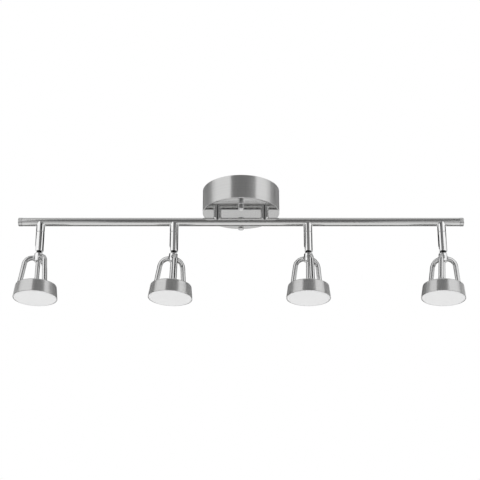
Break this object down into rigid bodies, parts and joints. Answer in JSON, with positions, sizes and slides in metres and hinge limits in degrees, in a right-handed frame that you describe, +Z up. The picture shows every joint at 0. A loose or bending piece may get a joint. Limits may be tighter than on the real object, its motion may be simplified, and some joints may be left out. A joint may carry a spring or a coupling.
{
  "type": "track lighting fixture",
  "caption": "Ceiling light with a round canopy, a straight round bar hung on two posts, and lamp heads on legs that turn and tilt under the bar.",
  "frame": {"origin": "middle of the mounting bracket's top face, in the plane of the ceiling", "axes": "+Z up into the ceiling, +X along the bar, -Y towards the front"},
  "size_m": [0.7369, 0.127, 0.1929],
  "materials": {
    "brushed_nickel": "satin",
    "polished_nickel": "polished",
    "nickel_on_aluminium": "satin",
    "black_steel": "satin",
    "zinc_steel": "satin",
    "white_plastic": "matte",
    "ivory_plastic": "matte",
    "white_board": "satin",
    "opal_acrylic": "satin"
  },
  "bodies": {
    "ceiling_part": {"canopy": "brushed_nickel", "mounting_bracket": "zinc_steel", "ground_screw": "zinc_steel", "led_driver": "white_plastic", "terminal_block": "ivory_plastic", "front_stud": "zinc_steel", "front_cap_nut": "polished_nickel", "rear_stud": "zinc_steel", "rear_cap_nut": "polished_nickel", "track_bar": "brushed_nickel", "left_end_cap": "brushed_nickel", "right_end_cap": "brushed_nickel", "left_post": "polished_nickel", "left_post_nut": "zinc_steel", "right_post": "polished_nickel", "right_post_nut": "zinc_steel", "stem_collar_1": "polished_nickel", "stem_collar_2": "polished_nickel", "stem_collar_3": "polished_nickel", "stem_collar_4": "polished_nickel", "swivel_nut_1": "zinc_steel", "swivel_nut_2": "zinc_steel", "swivel_nut_3": "zinc_steel", "swivel_nut_4": "zinc_steel"},
    "sleeve_1": {"swivel_sleeve_1": "polished_nickel", "pivot_pin_1": "zinc_steel"},
    "head_1": {"knuckle_1": "black_steel", "leg_cage_1": "polished_nickel", "wire_tube_1": "polished_nickel", "tube_nut_1": "zinc_steel", "lamp_housing_1": "nickel_on_aluminium", "led_board_1": "white_board", "diffuser_1": "opal_acrylic"},
    "sleeve_2": {"swivel_sleeve_2": "polished_nickel", "pivot_pin_2": "zinc_steel"},
    "head_2": {"knuckle_2": "black_steel", "leg_cage_2": "polished_nickel", "wire_tube_2": "polished_nickel", "tube_nut_2": "zinc_steel", "lamp_housing_2": "nickel_on_aluminium", "led_board_2": "white_board", "diffuser_2": "opal_acrylic"},
    "sleeve_3": {"swivel_sleeve_3": "polished_nickel", "pivot_pin_3": "zinc_steel"},
    "head_3": {"knuckle_3": "black_steel", "leg_cage_3": "polished_nickel", "wire_tube_3": "polished_nickel", "tube_nut_3": "zinc_steel", "lamp_housing_3": "nickel_on_aluminium", "led_board_3": "white_board", "diffuser_3": "opal_acrylic"},
    "sleeve_4": {"swivel_sleeve_4": "polished_nickel", "pivot_pin_4": "zinc_steel"},
    "head_4": {"knuckle_4": "black_steel", "leg_cage_4": "polished_nickel", "wire_tube_4": "polished_nickel", "tube_nut_4": "zinc_steel", "lamp_housing_4": "nickel_on_aluminium", "led_board_4": "white_board", "diffuser_4": "opal_acrylic"}
  },
  "joints": [
    {"name": "turn_1", "type": "hinge", "parent": "ceiling_part", "child": "sleeve_1", "pos_m": [-0.3306, 0, -0.076], "axis": [0, 0, 1], "range_deg": [-175, 175]},
    {"name": "tilt_1", "type": "hinge", "parent": "sleeve_1", "child": "head_1", "pos_m": [-0.3306, 0, -0.1035], "axis": [0, 1, 0], "range_deg": [-1.4, 88.6]},
    {"name": "turn_2", "type": "hinge", "parent": "ceiling_part", "child": "sleeve_2", "pos_m": [-0.1102, 0, -0.076], "axis": [0, 0, 1], "range_deg": [-175, 175]},
    {"name": "tilt_2", "type": "hinge", "parent": "sleeve_2", "child": "head_2", "pos_m": [-0.1102, 0, -0.1035], "axis": [0, 1, 0], "range_deg": [-2.9, 87.1]},
    {"name": "turn_3", "type": "hinge", "parent": "ceiling_part", "child": "sleeve_3", "pos_m": [0.1102, 0, -0.076], "axis": [0, 0, 1], "range_deg": [-175, 175]},
    {"name": "tilt_3", "type": "hinge", "parent": "sleeve_3", "child": "head_3", "pos_m": [0.1102, 0, -0.1035], "axis": [0, 1, 0], "range_deg": [-0.8, 89.2]},
    {"name": "turn_4", "type": "hinge", "parent": "ceiling_part", "child": "sleeve_4", "pos_m": [0.3306, 0, -0.076], "axis": [0, 0, 1], "range_deg": [-175, 175]},
    {"name": "tilt_4", "type": "hinge", "parent": "sleeve_4", "child": "head_4", "pos_m": [0.3306, 0, -0.1035], "axis": [0, 1, 0], "range_deg": [-2.4, 87.6]}
  ]
}
